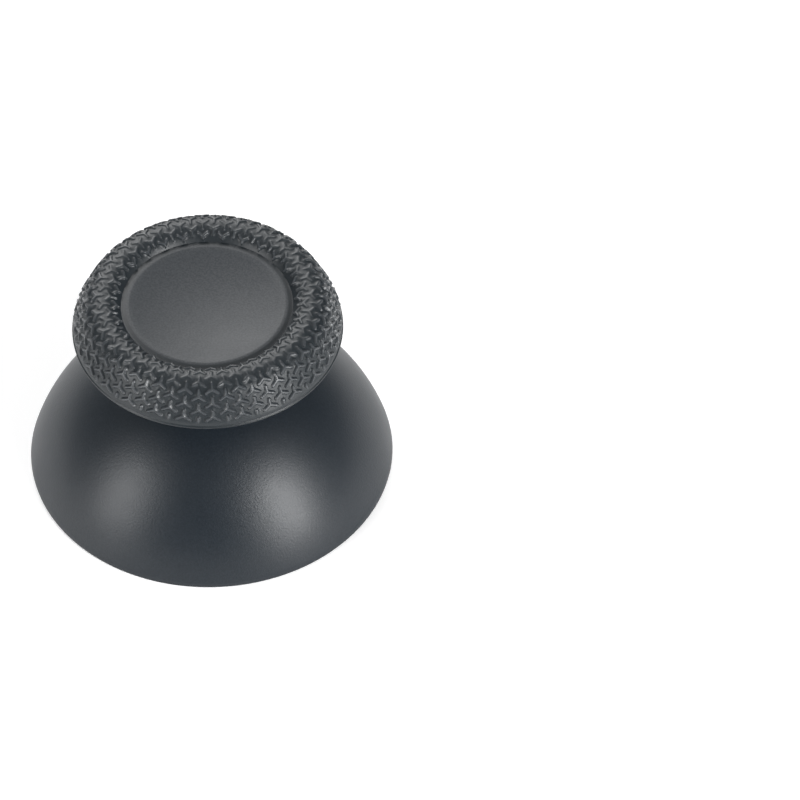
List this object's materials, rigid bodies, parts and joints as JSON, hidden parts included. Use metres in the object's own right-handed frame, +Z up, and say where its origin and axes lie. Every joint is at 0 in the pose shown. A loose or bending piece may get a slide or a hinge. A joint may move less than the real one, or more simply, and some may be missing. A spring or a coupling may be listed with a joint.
{
  "type": "thumbstick cap",
  "caption": "Thumbstick cap for a game controller: hollow round skirt, short neck and a soft concave head with a star-textured grip ring over a keyed socket.",
  "frame": {"origin": "centre of the skirt's flat rim, which the cap stands on", "axes": "+Z up the stick through the thumb dish, -Y the side that the picture shows, the socket's flats face +Y and -Y"},
  "size_m": [0.0268, 0.0268, 0.0168],
  "materials": {
    "stick_plastic": "satin moulded plastic with a fine spark grain",
    "grip_rubber": "matte soft plastic, smooth dish and lip, star-shaped ribs round the ring"
  },
  "bodies": {
    "root": {"stick_body": "stick_plastic", "grip_cap": "grip_rubber"}
  },
  "joints": []
}
